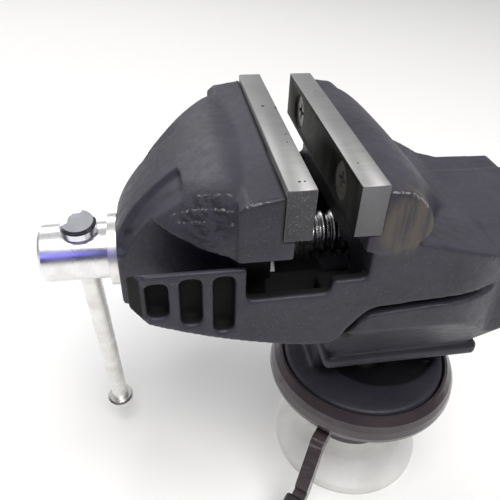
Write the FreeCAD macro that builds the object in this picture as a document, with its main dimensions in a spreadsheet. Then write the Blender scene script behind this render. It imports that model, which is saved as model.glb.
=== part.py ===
# Suction base vise, millimetres.
# X runs along the screw towards the fixed jaw, Y across the jaws, Z up.
# The origin is on the table, on the swivel axis, under the suction base.
import FreeCAD, Part
import Sketcher
import math
import os
import re

Vector = FreeCAD.Vector
doc = FreeCAD.newDocument("SuctionBaseVise")

# Driving sizes
# Places along X are distances from the swivel axis: ahead is towards the handle.
# Heights named over_foot are measured from the top face of the swivel foot.
SIZES = [
    ("foot_level", 55, "top face of the swivel foot above the table"),
    ("running_gap", 0.3, "gap between sliding faces"),
    ("bore_gap", 0.05, "radial clearance of a shaft in its bore"),
    # Jaws
    ("jaw_width", 75, "length of the jaws across the vise"),
    ("jaw_height", 97, "jaw tops over the foot"),
    ("jaw_opening", 10.3, "gap between the jaw faces at rest"),
    ("face_ahead", 28.7, "fixed jaw face ahead of the swivel axis"),
    ("plate_thick", 7, "thickness of a jaw plate"),
    ("plate_tall", 14, "height of a jaw plate"),
    ("plate_proud", 1.8, "jaw plates stand this much above the castings"),
    ("plate_screw_space", 44, "distance between a plate's two screws"),
    ("plate_screw_drop", 7, "plate screws below the jaw tops"),
    ("plate_screw_radius", 2.5, "shank of a plate screw"),
    ("plate_screw_long", 14, "overall length of a plate screw"),
    ("plate_head_radius", 4.8, "countersunk head of a plate screw"),
    ("plate_head_deep", 2.8, "height of the countersunk head"),
    ("plate_head_sunk", 0.8, "heads lie this far under the face"),
    ("block_deep", 10.8, "flat end of a jaw block behind its plate"),
    ("block_bottom", 77.2, "underside of the jaw blocks over the foot"),
    ("block_lip", 3, "jaw blocks reach forward under the plates"),
    # Fixed body
    ("body_inset", 0.75, "the body's side walls stand this far inside the jaw ends"),
    ("beam_ahead", 84, "front end of the beam ahead of the swivel axis"),
    ("beam_top", 75, "top of the beam walls over the foot"),
    ("beam_corner", 4.6, "bevel of the beam's near front corner"),
    ("far_corner", 10, "bevel of the far front corner, which the photo does not show"),
    ("beam_nose", 61.2, "lowest point of the beam's front end over the foot"),
    ("beam_belly", 45.2, "lowest point of the beam over the foot"),
    ("rear_behind", 46, "rear end of the body behind the swivel axis"),
    ("anvil_behind", 58, "rear end of the anvil behind the swivel axis"),
    ("anvil_rise", 4.2, "the anvil face over the roof of the slide's tunnel"),
    ("anvil_half", 16, "half width of the anvil"),
    ("tail_drop", 5.3, "the body's rear end starts this far under the anvil face"),
    ("well_wall", 3.5, "wall left beside the well under the jaws"),
    ("well_floor", 54, "floor of the well over the foot"),
    ("notch_ahead", 54.3, "front edge of the chip notch ahead of the axis"),
    ("notch_back", 22.3, "rear edge of the chip notch ahead of the axis"),
    ("notch_step", 32, "where the notch floor steps up, ahead of the axis"),
    ("notch_floor", 64.2, "floor of the notch over the foot"),
    ("notch_rise", 4.1, "height of the step in the notch floor"),
    ("pocket_wide", 5.5, "width of a beam pocket"),
    ("pocket_pitch", 8.35, "distance between the beam pockets"),
    ("pocket_ahead", 76.6, "middle of the first pocket ahead of the axis"),
    ("pocket_deep", 4.5, "depth of the beam pockets"),
    ("pocket_under_top", 2, "pockets start this far below the beam top"),
    ("pocket_floor", 2.6, "metal left under each pocket"),
    ("pocket_corner", 1.9, "corner radius of the pockets"),
    # Slide and its channel
    ("slide_half", 22, "half width of the slide rails"),
    ("rail_inner", 12.5, "half gap between the slide rails"),
    ("rail_bottom", 47, "underside of the rails over the foot"),
    ("rail_top", 53, "top of the rails over the foot"),
    ("tunnel_top", 66.3, "roof of the slide's tunnel over the foot"),
    ("rail_behind", 20, "rear end of the rails behind the swivel axis"),
    ("shoulder_half", 27, "half width of the slide's shoulders"),
    ("shoulder_bottom", 63, "underside of the shoulders over the foot"),
    ("hub_bottom", 45, "underside of the screw hub over the foot"),
    ("keel_bottom", 40.5, "underside of the channel floor over the foot"),
    ("keel_ahead", 66, "front end of the channel floor ahead of the axis"),
    # Movable jaw casting
    ("nose_ahead", 87.5, "front face of the movable jaw ahead of the axis"),
    ("wing_foot_half", 14, "half width of the casting under the wings, at the nose"),
    ("crease_deep", 2, "depth of the crease beside the screw boss"),
    ("crease_half", 1.1, "half width of the crease"),
    # Swivel foot and pedestal
    ("foot_radius", 31.1, "radius of the swivel foot"),
    ("foot_thick", 7, "thickness of the swivel foot"),
    ("foot_edge", 1.2, "rounding of the foot's upper edge"),
    ("lip_low", 13.5, "underside of the pedestal lip over the foot"),
    ("lip_high", 18, "top of the pedestal lip over the foot"),
    ("lip_half", 20, "half width of the pedestal lip"),
    ("lip_ahead", 23, "front of the lip ahead of the swivel axis"),
    ("leg_half", 8.5, "half width of the pedestal's two legs"),
    ("leg_long", 8, "length of a leg along the vise"),
    ("leg_margin", 1.5, "the rear leg ends this far inside the foot's edge"),
    ("lip_behind", 34, "rear of the lip behind the swivel axis"),
    ("neck_inset", 0.3, "the neck stands this far inside the side walls"),
    ("neck_groove", 2.8, "height of the groove between neck and body"),
    ("neck_groove_deep", 5, "depth of that groove"),
    ("dish_radius", 24, "radius of the dish beside the pivot nut"),
    ("dish_shift", 4.5, "the dish's two arcs are centred this far off the axis"),
    ("dish_behind", 6, "middle of the dish behind the swivel axis"),
    ("dish_deep", 2.2, "depth of the dish in the foot"),
    # Screw and handle
    ("screw_height", 57, "screw axis over the foot"),
    ("screw_radius", 8, "journal of the lead screw"),
    ("thread_pitch", 3.5, "pitch of the lead screw"),
    ("thread_deep", 1.6, "depth of the thread"),
    ("thread_under", 0.1, "thread crests lie this far inside the journal"),
    ("screw_behind", 42, "rear end of the lead screw behind the axis"),
    ("head_radius", 8.75, "radius of the screw head"),
    ("head_long", 20, "length of the screw head"),
    ("bar_from_washer", 8, "handle bar axis ahead of the thrust washer"),
    ("bar_radius", 3.25, "radius of the handle bar"),
    ("bar_tilt", 11, "the bar hangs this many degrees off plumb"),
    ("bar_travel", 84, "how far the bar slides through the head"),
    ("cap_radius", 5.3, "radius of the caps on the bar"),
    ("cap_tall", 4.6, "height of the caps on the bar"),
    ("thrust_radius", 11, "radius of the thrust washer"),
    ("thrust_thick", 2.6, "thickness of the thrust washer"),
    ("retainer_thick", 2, "thickness of the retaining washer"),
    ("pin_radius", 1.5, "radius of the retaining pin"),
    ("pin_half", 11, "half length of the retaining pin"),
    ("pin_turn", 45, "the pin points this many degrees off plumb"),
    # Lead nut
    ("nut_half", 12, "half width of the lead nut"),
    ("nut_ahead", 12, "front face of the lead nut ahead of the axis"),
    ("nut_long", 14, "length of the lead nut"),
    ("nut_tall", 21, "height of the lead nut"),
    ("nut_bolt_radius", 3, "shank of the bolt that holds the lead nut"),
    ("nut_bolt_grip", 3.4, "that bolt reaches this far into the lead nut"),
    ("nut_bolt_head", 4, "height of that bolt's head"),
    ("nut_bolt_flats", 10, "across the flats of that bolt's head"),
    ("nut_washer_thick", 1.2, "washer under that bolt's head"),
    # Suction base
    ("housing_lip", 0.5, "housing rim below the foot's top face"),
    ("housing_bulge", 36.2, "largest radius of the housing"),
    ("bulge_drop", 8.5, "the largest radius lies this far under the foot's face"),
    ("waist_drop", 14, "the taper starts this far under the foot's face"),
    ("waist_radius", 32.6, "radius of the housing where the taper starts"),
    ("stalk_radius", 18.6, "radius of the housing where it meets the suction foot"),
    ("housing_wall", 3.4, "wall of the housing"),
    ("deck_thick", 4, "deck that carries the swivel foot"),
    ("shelf_height", 17, "underside of the housing's floor over the table"),
    ("shelf_thick", 4, "thickness of the housing's floor"),
    ("fibre_thick", 1, "thickness of the swivel washer"),
    ("fibre_radius", 26, "outer radius of the swivel washer"),
    ("pivot_radius", 5, "shank of the pivot bolt"),
    ("pivot_head_radius", 8.5, "radius of the pivot bolt's head"),
    ("pivot_head_tall", 4, "height of the pivot bolt's head"),
    ("pivot_nut_flats", 16, "across the flats of the pivot nut"),
    ("pivot_nut_tall", 8, "height of the pivot nut"),
    ("spring_washer_tall", 2.2, "thickness of the spring washer"),
    ("pivot_end", 2, "the pivot bolt stands this far past its nut"),
    ("suction_radius", 31, "radius of the suction foot on the table"),
    ("suction_rim", 3.4, "width of the suction foot's rim"),
    ("suction_roof", 12.5, "inner roof of the suction foot over the table"),
    ("foot_screw_circle", 10.3, "the suction foot's screws lie on this radius"),
    ("foot_screw_radius", 2, "shank of a suction foot screw"),
    ("foot_screw_head", 3.6, "head of a suction foot screw"),
    # Suction lock
    ("lever_angle", 230, "direction of the lock lever at rest, in degrees"),
    ("lever_swing", 70, "turn of the lock lever"),
    ("lever_thick", 5, "thickness of the lock lever"),
    ("lever_deep", 5.4, "height of the lever's arm in the slot"),
    ("lever_drop", 14, "top of the lever's arm below the foot's face"),
    ("lever_reach", 62, "tip of the lever from the swivel axis"),
    ("slot_gap", 0.6, "clearance round the lever in its slot"),
    ("cam_radius", 14, "radius of the lever's cam"),
    ("cam_bore", 10.5, "inner radius of the cam's ramps"),
    ("cam_guide", 5.3, "radius of the cam's hole round the stem"),
    ("cam_floor", 2, "thickness of the cam's floor"),
    ("cam_height", 7.7, "mean height of the cam"),
    ("lift", 3, "travel of the pad's stem"),
    ("stem_radius", 5, "radius of the pad's stem"),
    ("spigot_radius", 3, "riveted end of the stem"),
    ("lift_pin_radius", 2, "radius of the lift pin"),
    ("lift_pin_half", 13, "half length of the lift pin"),
    ("lift_plate_radius", 13, "radius of the lift plate"),
    ("lift_plate_thick", 3, "thickness of the lift plate"),
    ("grip_wall", 1.6, "wall of the lever's grip"),
    ("grip_long", 13, "length of the lever's grip"),
    ("pad_thick", 3.2, "thickness of the rubber pad"),
]
WORDS = {alias for alias, value, meaning in SIZES}

sheet = doc.addObject("Spreadsheet::Sheet", "Sizes")
for row, (alias, value, meaning) in enumerate(SIZES, start=1):
    sheet.set("A%d" % row, alias.replace("_", " "))
    sheet.set("B%d" % row, str(value))
    sheet.set("C%d" % row, meaning)
    sheet.setAlias("B%d" % row, alias)
doc.recompute()


def size(alias):
    return float(sheet.get(alias))


def formula(text):
    # Turn plain size words into references to the sheet.
    return re.sub(r"[a-z_]+", lambda word: "Sizes." + word.group()
                  if word.group() in WORDS else word.group(), text)


def value_of(text):
    # The number that a formula gives now, used only to draw a sketch near its solution.
    scratch = doc.addObject("App::FeaturePython", "Scratch")
    scratch.addProperty("App::PropertyFloat", "Number")
    scratch.setExpression("Number", formula(text))
    scratch.recompute()
    number = scratch.Number
    doc.removeObject(scratch.Name)
    return number


def bind(thing, prop, text):
    thing.setExpression(prop, formula(text))


def place(thing, x="0", y="0", z="0"):
    bind(thing, "Placement.Base.x", x)
    bind(thing, "Placement.Base.y", y)
    bind(thing, "Placement.Base.z", z)


# Sketches and Part Design bodies

def new_body(name):
    return doc.addObject("PartDesign::Body", name)


def new_sketch(body, plane, name):
    sketch = body.newObject("Sketcher::SketchObject", name)
    for feature in body.Origin.OriginFeatures:
        if feature.Role == plane:
            sketch.AttachmentSupport = [(feature, "")]
    sketch.MapMode = "FlatFace"
    return sketch


def constrain(sketch, kind, first, second, text):
    # Hold one point of the sketch, or a circle's radius, at a formula.
    number = value_of(text)
    if kind == "Radius":
        index = sketch.addConstraint(Sketcher.Constraint(kind, first, number))
    else:
        index = sketch.addConstraint(Sketcher.Constraint(kind, -1, 1, first, second, number))
    sketch.setExpression("Constraints[%d]" % index, formula(text))


def add_polygon(sketch, points):
    start = sketch.GeometryCount
    corners = [Vector(value_of(x), value_of(y), 0) for x, y in points]
    count = len(points)
    for i in range(count):
        sketch.addGeometry(Part.LineSegment(corners[i], corners[(i + 1) % count]), False)
    for i in range(count):
        following = start + (i + 1) % count
        sketch.addConstraint(Sketcher.Constraint("Coincident", start + i, 2, following, 1))
    for i, (x, y) in enumerate(points):
        constrain(sketch, "DistanceX", start + i, 1, x)
        constrain(sketch, "DistanceY", start + i, 1, y)


def add_circle(sketch, radius, x="0", y="0"):
    index = sketch.GeometryCount
    centre = Vector(value_of(x), value_of(y), 0)
    circle = Part.Circle(centre, Vector(0, 0, 1), value_of(radius))
    sketch.addGeometry(circle, False)
    constrain(sketch, "DistanceX", index, 3, x)
    constrain(sketch, "DistanceY", index, 3, y)
    constrain(sketch, "Radius", index, 0, radius)


def hexagon(flats):
    # Corners of a hexagon about the origin, two of them on the X axis.
    corner = "(%s) / 2 / cos(30)" % flats
    return [("%s * cos(%d)" % (corner, 60 * i), "%s * sin(%d)" % (corner, 60 * i))
            for i in range(6)]


def pad(body, sketch, length, symmetric=False):
    feature = body.newObject("PartDesign::Pad", "Pad")
    feature.Profile = sketch
    if symmetric:
        feature.SideType = "Symmetric"
    bind(feature, "Length", length)
    doc.recompute()
    return feature


def revolve(body, points, axis="V_Axis", plane="XZ_Plane"):
    sketch = new_sketch(body, plane, "Profile")
    add_polygon(sketch, points)
    feature = body.newObject("PartDesign::Revolution", "Revolution")
    feature.Profile = sketch
    feature.ReferenceAxis = (sketch, [axis])
    feature.Angle = 360
    doc.recompute()
    return feature


def ring(name, inner, outer, tall, z, plane="XY_Plane", x="0"):
    # A washer: a padded ring on the plane, at the given place.
    body = new_body(name)
    sketch = new_sketch(body, plane, "RingSketch")
    add_circle(sketch, outer)
    add_circle(sketch, inner)
    pad(body, sketch, tall)
    place(body, x, "0", z)
    return body


# Primitives and booleans

def cylinder(name, radius, height, x="0", y="0", z="0"):
    solid = doc.addObject("Part::Cylinder", name)
    bind(solid, "Radius", radius)
    bind(solid, "Height", height)
    place(solid, x, y, z)
    return solid


def block(name, length, width, height, x="0", y="0", z="0"):
    solid = doc.addObject("Part::Box", name)
    bind(solid, "Length", length)
    bind(solid, "Width", width)
    bind(solid, "Height", height)
    place(solid, x, y, z)
    return solid


def subtract(name, base, tool):
    result = doc.addObject("Part::Cut", name)
    result.Base = base
    result.Tool = tool
    return result


def unite(name, solids):
    result = doc.addObject("Part::MultiFuse", name)
    result.Shapes = solids
    return result


# Shapes made from outlines, for the castings

def outline(start, *steps):
    # Edges in the XZ plane. A step of two numbers is a line to that point,
    # a step of four is an arc through the first pair to the second.
    edges = []
    here = Vector(start[0], 0, start[1])
    first = here
    for step in steps:
        end = Vector(step[-2], 0, step[-1])
        if len(step) == 2:
            edges.append(Part.LineSegment(here, end).toShape())
        else:
            middle = Vector(step[0], 0, step[1])
            edges.append(Part.Arc(here, middle, end).toShape())
        here = end
    edges.append(Part.LineSegment(here, first).toShape())
    return Part.Face(Part.Wire(edges))


def slab(face, half):
    moved = face.translated(Vector(0, -half, 0))
    return moved.extrude(Vector(0, 2 * half, 0))


def side_slabs(face, inner, outer):
    # The same outline on both sides, from the inner to the outer half width.
    near = face.translated(Vector(0, -outer, 0)).extrude(Vector(0, outer - inner, 0))
    far = face.translated(Vector(0, inner, 0)).extrude(Vector(0, outer - inner, 0))
    return near.fuse(far)


def span(x_low, x_high, y_low, y_high, z_low, z_high):
    return Part.makeBox(x_high - x_low, y_high - y_low, z_high - z_low,
                        Vector(x_low, y_low, z_low))


def crown_section(x, half, base, crown, corner):
    # A closed section at x: upright sides, rounded shoulders, a slightly arched top.
    arch = 0.02 * half
    turn = corner * (1 - math.sqrt(0.5))
    left = [Vector(x, -half, base), Vector(x, -half, crown - corner - arch),
            Vector(x, -half + turn, crown - turn - arch),
            Vector(x, -half + corner, crown - arch)]
    right = [Vector(x, -p.y, p.z) for p in left]
    edges = [
        Part.LineSegment(left[0], left[1]).toShape(),
        Part.Arc(left[1], left[2], left[3]).toShape(),
        Part.Arc(left[3], Vector(x, 0, crown), right[3]).toShape(),
        Part.Arc(right[3], right[2], right[1]).toShape(),
        Part.LineSegment(right[1], right[0]).toShape(),
        Part.LineSegment(right[0], left[0]).toShape(),
    ]
    return Part.Wire(edges)


def blend(along):
    # Rises smoothly from 0 to 1 as along goes from 0 to 1.
    return 0.5 - 0.5 * math.cos(math.pi * min(1, max(0, along)))


def dome(sections, base, inset=0.0):
    wires = [crown_section(x, half - inset, base, crown - inset, corner)
             for x, half, crown, corner in sections]
    return Part.makeLoft(wires, True, False)


def rounded_section(z, x_low, x_high, half, corner):
    face = Part.Face(Part.makePolygon([
        Vector(x_low, -half, z), Vector(x_high, -half, z),
        Vector(x_high, half, z), Vector(x_low, half, z), Vector(x_low, -half, z)]))
    prism = face.extrude(Vector(0, 0, 1))
    uprights = [edge for edge in prism.Edges
                if abs(edge.Vertexes[0].Z - edge.Vertexes[1].Z) > 0.5]
    prism = prism.makeFillet(corner, uprights)
    for flat in prism.Faces:
        if abs(flat.CenterOfMass.z - z) < 1e-6 and abs(flat.normalAt(0, 0).z) > 0.99:
            return flat.OuterWire
    raise RuntimeError("No section at %s" % z)


def feature_from(label, shape, x=0, y=0, z=0):
    feature = doc.addObject("Part::Feature", label)
    feature.Shape = shape
    feature.Placement = FreeCAD.Placement(Vector(x, y, z), FreeCAD.Rotation())
    return feature


# The fixed body: rear jaw, beam, anvil, neck and swivel foot in one casting

def body_side_outline(drop=0.0):
    # The underside of the body seen from the side, moved down by drop.
    front = -size("beam_ahead")
    back = size("rear_behind")
    nose = size("beam_nose") - drop
    belly = size("beam_belly") - drop
    tail = anvil_level() - size("tail_drop") - drop
    neck_front = -size("lip_ahead")
    return [
        (front, nose),
        (front + 22, nose - 9.3, neck_front - 14, belly + 0.4),
        (neck_front - 9, belly),
        (neck_front - 5, belly + 1.2, neck_front - 2.7, belly + 4.8),
        (neck_front + 0.9, belly + 9.6),
        (neck_front + 2.9, belly + 11.6, neck_front + 5.7, belly + 12.6),
        (neck_front + 21, tail - 6.2),
        (back - 5, tail - 5),
        (back - 1.5, tail - 3.5, back, tail),
    ]


def body_half():
    # Half width of the body's side walls.
    return size("jaw_width") / 2 - size("body_inset")


def anvil_level():
    return size("tunnel_top") + size("anvil_rise")


def plan_prism(inset):
    # The body seen from above, drawn in by inset, as an upright prism.
    half = body_half() - inset
    front = -size("beam_ahead") + inset
    back = size("rear_behind") - inset
    rear_half = size("slide_half") + 5 - inset
    sides = []
    for side, corner in ((-1, size("beam_corner")), (1, size("far_corner"))):
        flank = [(front, 0), (front, half - corner), (front + corner, half), (4, half)]
        rear = [(26, half - 9), (back, rear_half), (back, 0), (front, 0)]
        edges = [Part.LineSegment(Vector(a[0], side * a[1], 0),
                                  Vector(b[0], side * b[1], 0)).toShape()
                 for a, b in list(zip(flank, flank[1:])) + list(zip(rear, rear[1:]))]
        edges.append(Part.Arc(Vector(4, side * half, 0), Vector(15.6, side * (half - 2.6), 0),
                              Vector(26, side * (half - 9), 0)).toShape())
        face = Part.Face(Part.Wire(Part.__sortEdges__(edges)))
        sides.append(face.extrude(Vector(0, 0, size("jaw_height"))))
    return sides[0].fuse(sides[1])


def beam_pockets():
    # Three blind pockets in each side of the beam, deeper where the beam is deeper.
    half = body_half()
    top = size("beam_top") - size("pocket_under_top")
    tools = []
    nose_rise = size("beam_nose") - size("beam_belly")
    for i in range(3):
        middle = -size("pocket_ahead") + i * size("pocket_pitch")
        along = (middle + size("beam_ahead")) / (size("beam_ahead") - size("notch_ahead"))
        under = size("beam_nose") - nose_rise * 0.75 * along
        floor = under + size("pocket_floor")
        low = middle - size("pocket_wide") / 2
        ceiling = top - (0.8 if i == 0 else 0.0)
        tool = span(low, low + size("pocket_wide"), -half - 1, half + 1, floor, ceiling)
        upright = [e for e in tool.Edges if abs(e.Vertexes[0].Y - e.Vertexes[1].Y) > 1]
        tools.append(tool.makeFillet(size("pocket_corner"), upright))
    core_half = half - size("pocket_deep")
    core = span(-size("beam_ahead"), -size("notch_ahead"), -core_half, core_half, 0,
                size("jaw_height"))
    return tools[0].fuse(tools[1:]).cut(core)


def chip_notch():
    # The open notch in both side walls, in front of the fixed jaw.
    floor = size("notch_floor")
    step = -size("notch_step")
    face = outline(
        (-size("notch_ahead"), size("block_bottom")),
        (-size("notch_ahead"), floor + 1.5),
        (-size("notch_ahead") + 0.45, floor + 0.45, -size("notch_ahead") + 1.5, floor),
        (step - 1.5, floor + 0.2),
        (step - 0.3, floor + 0.8, step + 0.2, floor + size("notch_rise") - 0.6),
        (step + 1, floor + size("notch_rise")),
        (-size("notch_back"), floor + size("notch_rise") + 0.3),
        (-size("notch_back"), size("block_bottom")))
    return slab(face, body_half() + 1)


def channel():
    # The space that the slide runs in, open above in the beam, roofed under the jaw.
    gap = size("running_gap")
    front = -size("beam_ahead") - 1
    back = size("rear_behind") + 1
    top = size("block_bottom")
    wide = size("shoulder_half") + gap
    narrow = size("slide_half") + gap
    shoulders = span(front, -size("notch_ahead") + 1, -wide, wide,
                     size("shoulder_bottom") - gap, top)
    open_part = span(front, -size("notch_back"), -narrow, narrow,
                     size("rail_bottom") - gap, top)
    tunnel = span(front, back, -narrow, narrow, size("rail_bottom") - gap,
                  size("tunnel_top"))
    hub_half = size("nut_half") + gap
    trench = span(front, back, -hub_half, hub_half, size("hub_bottom") - gap,
                  size("tunnel_top"))
    well_half = body_half() - size("well_wall")
    step = -size("notch_step")
    well = span(-size("notch_ahead"), step, -well_half, well_half, size("well_floor"), top)
    shallow = span(step - 1, -size("notch_back"), -well_half, well_half,
                   size("well_floor") + 6, top)
    bevel = Part.Face(Part.makePolygon([
        Vector(front, wide - 1, size("beam_top") - 8), Vector(front, wide - 1, top),
        Vector(front, body_half() - 1.2, top),
        Vector(front, body_half() - 1.2, size("beam_top")),
        Vector(front, wide - 1, size("beam_top") - 8)]))
    bevel = bevel.extrude(Vector(-size("notch_ahead") + 1 - front, 0, 0))
    other = bevel.mirror(Vector(0, 0, 0), Vector(0, 1, 0))
    return shoulders.fuse([open_part, tunnel, trench, well, shallow, bevel, other])


def keel():
    # The floor of the channel: narrower than the walls, so that it hides behind them.
    bottom = size("keel_bottom")
    narrow = size("slide_half") + size("running_gap")
    side = narrow + 2.5
    floor = narrow - 5.5
    ledge = size("rail_bottom") - 3
    top = size("tunnel_top")
    wall = body_half() - 3
    half = [(0, bottom), (floor, bottom), (side, ledge), (side, top - 4), (wall, top)]
    points = [Vector(0, y, z) for y, z in half] + [Vector(0, -y, z) for y, z in reversed(half)]
    section = Part.Face(Part.makePolygon(points[:-1] + [points[0]]))
    section.translate(Vector(-size("keel_ahead"), 0, 0))
    body = section.extrude(Vector(size("keel_ahead") + size("rear_behind"), 0, 0))
    return body.common(plan_prism(1))


def neck():
    # Pedestal, lip and flaring neck over the swivel foot, and the hollows in them.
    lip_front = -size("lip_ahead")
    lip_back = size("lip_behind")
    lip_half = size("lip_half")
    low = size("lip_low")
    high = size("lip_high")
    under = size("beam_belly")
    top = size("beam_nose") + 3
    neck_half = body_half() - size("neck_inset")
    leg = size("leg_long")
    rear_leg = size("foot_radius") - size("leg_margin") - leg
    lower = Part.Face(rounded_section(low, lip_front, lip_back, lip_half, 2.5))
    lower = lower.extrude(Vector(0, 0, high - low))
    rims = [e for e in lower.Edges if e.BoundBox.ZMin > high - 0.01]
    lower = lower.makeFillet(1.8, rims)
    legs = [Part.Face(rounded_section(-1, x, x + leg, size("leg_half"), 2)).extrude(
            Vector(0, 0, low + 2)) for x in (lip_front + 1, rear_leg)]
    flare = Part.makeLoft([
        rounded_section(high - 2, lip_front + 2, lip_back - 2, lip_half - 3, 5),
        rounded_section(high + (under - high) * 0.5, lip_front - 0.5, lip_back + 2,
                        (lip_half + neck_half) / 2 - 2, 6),
        rounded_section(under + 3, lip_front - 7, lip_back + 6, neck_half, 8)], True, False)
    column = Part.Face(rounded_section(under + 3, lip_front - 7, lip_back + 6, neck_half, 8))
    column = column.extrude(Vector(0, 0, top - under - 3))
    wide = flare.fuse(column).common(plan_prism(body_half() - neck_half))
    sky = [(size("rear_behind"), size("jaw_height")), (-size("beam_ahead"), size("jaw_height"))]
    groove = outline(*body_side_outline(size("neck_groove")), *sky)
    wide = wide.cut(side_slabs(groove, neck_half - size("neck_groove_deep"), neck_half + 1))
    # The dish in the foot and the bay that holds the bolt of the lead nut.
    deep = size("dish_deep")
    arcs = [Part.makeCylinder(size("dish_radius"), low + deep,
                              Vector(size("dish_behind"), side * size("dish_shift"), -deep))
            for side in (-1, 1)]
    dish = arcs[0].common(arcs[1])
    dish = dish.cut(legs[0].fuse(legs[1]))
    bay = span(-size("nut_ahead") - 2, lip_back - 12, -lip_half + 8, lip_half - 8,
               low - 1, size("keel_bottom") - 4.5)
    return lower.fuse(legs + [wide]), dish.fuse(bay)


def jaw_block(direction, back_of_plate):
    # The end block behind a jaw plate, full width, seen from the side.
    top = size("jaw_height") - size("plate_proud")
    plate_bottom = size("jaw_height") - size("plate_tall")
    bottom = size("block_bottom")
    deep = size("block_deep")

    def at(distance):
        return back_of_plate + direction * distance

    lip = -size("block_lip")
    if direction < 0:
        face = outline((at(0), top), (at(8.6), top - 1.4), (at(deep), top - 3.2),
                       (at(deep), bottom), (at(lip), bottom),
                       (at(lip), plate_bottom), (at(0), plate_bottom))
    else:
        face = outline((at(0), top), (at(6.5), top - 0.8),
                       (at(deep), top - 4.5, at(deep + 2.6), top - 10.5),
                       (at(deep + 1.6), bottom + 3.6, at(deep - 2), bottom + 1.8),
                       (at(2.9), bottom + 0.5), (at(lip), bottom + 0.4),
                       (at(lip), plate_bottom), (at(0), plate_bottom))
    return slab(face, size("jaw_width") / 2)


def plate_screw_holes(face_x, direction):
    # Tapped holes for the two plate screws, from a plate's back into the casting.
    tools = []
    height = size("jaw_height") - size("plate_screw_drop")
    deep = size("plate_screw_long") + size("plate_head_sunk") - size("plate_thick") + 1.5
    for side in (-1, 1):
        start = Vector(face_x, side * size("plate_screw_space") / 2, height)
        tools.append(Part.makeCylinder(size("plate_screw_radius") + size("bore_gap"), deep, start,
                                       Vector(direction, 0, 0)))
    return tools[0].fuse(tools[1])


def fixed_body():
    half = body_half()
    back = size("anvil_behind")
    rear = size("rear_behind")
    jaw_back = -size("face_ahead") + size("plate_thick")
    top = size("jaw_height") - size("plate_proud")
    anvil = anvil_level()
    under = size("block_bottom") + 2
    anvil_half = size("anvil_half")
    hull = slab(outline(*body_side_outline(), (rear, anvil - 2), (20, anvil - 2),
                        (4, (anvil + under) / 2 + 0.3, -12, under), (-size("notch_back"), under),
                        (-size("notch_back"), size("beam_top")),
                        (-size("beam_ahead"), size("beam_top"))), half)
    hull = hull.common(plan_prism(0))
    base = size("tunnel_top") + 1.5
    fall = []
    for i in range(11):
        x = jaw_back + 4 * i
        narrowing = blend((x - jaw_back - 6) / 26)
        sinking = blend((x - jaw_back - 5) / 35)
        along = i / 10
        fall.append((x, half + (anvil_half - half) * narrowing, top + (anvil - top) * sinking,
                     4 - 2 * along + 5 * math.sin(math.pi * along)))
    horn = [fall[-1], (back, anvil_half, anvil, 2)]
    crown = dome(fall, base).fuse(dome(horn, size("tunnel_top") - 0.5))
    solid = hull.fuse([crown, jaw_block(1, jaw_back), keel()])
    pedestal, hollows = neck()
    foot = Part.makeCylinder(size("foot_radius"), size("foot_thick"),
                             Vector(0, 0, -size("foot_thick")))
    foot = foot.makeFillet(size("foot_edge"), [foot.Edges[0]])
    solid = solid.fuse([pedestal, foot])
    solid = solid.cut(channel()).cut(chip_notch()).cut(beam_pockets()).cut(hollows)
    pivot = Part.makeCylinder(size("pivot_radius") + size("bore_gap"), size("foot_thick") + 2,
                              Vector(0, 0, -size("foot_thick") - 1))
    nut_hole = Part.makeCylinder(size("nut_bolt_radius") + size("bore_gap"),
                                 size("hub_bottom"),
                                 Vector(-size("nut_ahead") + size("nut_long") / 2, 0,
                                        size("lip_high")))
    solid = solid.cut(pivot.fuse([nut_hole, plate_screw_holes(jaw_back, 1)]))
    return feature_from("fixed_body", solid.removeSplitter(), z=size("foot_level"))


# The movable jaw: jaw block, dome, wings, screw hub and slide rails in one casting

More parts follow.
